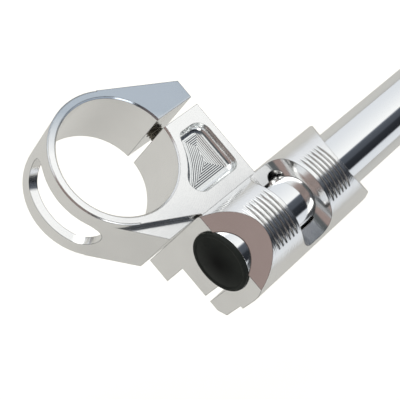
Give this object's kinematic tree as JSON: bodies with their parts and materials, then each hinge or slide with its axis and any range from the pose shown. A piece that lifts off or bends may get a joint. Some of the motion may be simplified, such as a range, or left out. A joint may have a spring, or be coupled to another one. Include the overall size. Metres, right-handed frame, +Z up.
{
  "type": "clip-on handlebar",
  "caption": "Clip-on motorbike handlebar: a machined fork clamp with a slotted ring and arm that grips a straight polished tube across the fork.",
  "frame": {"origin": "centre of the fork bore, at half the ring's height", "axes": "+Z up along the fork's axis; +X along the bar, towards its outer end; the bar lies on the -Y side"},
  "size_m": [0.2823, 0.0862, 0.051],
  "materials": {
    "machined_aluminium": "fine machined, satin",
    "polished_tube": "mirror polished",
    "black_plug": "smooth gloss black",
    "dark_steel": "black oxide, oiled"
  },
  "bodies": {
    "root": {"fork_clamp_body": "machined_aluminium", "handlebar_tube": "polished_tube", "bar_end_plug": "black_plug", "fork_pinch_bolt": "dark_steel", "bar_clamp_screws": "dark_steel"}
  },
  "joints": []
}
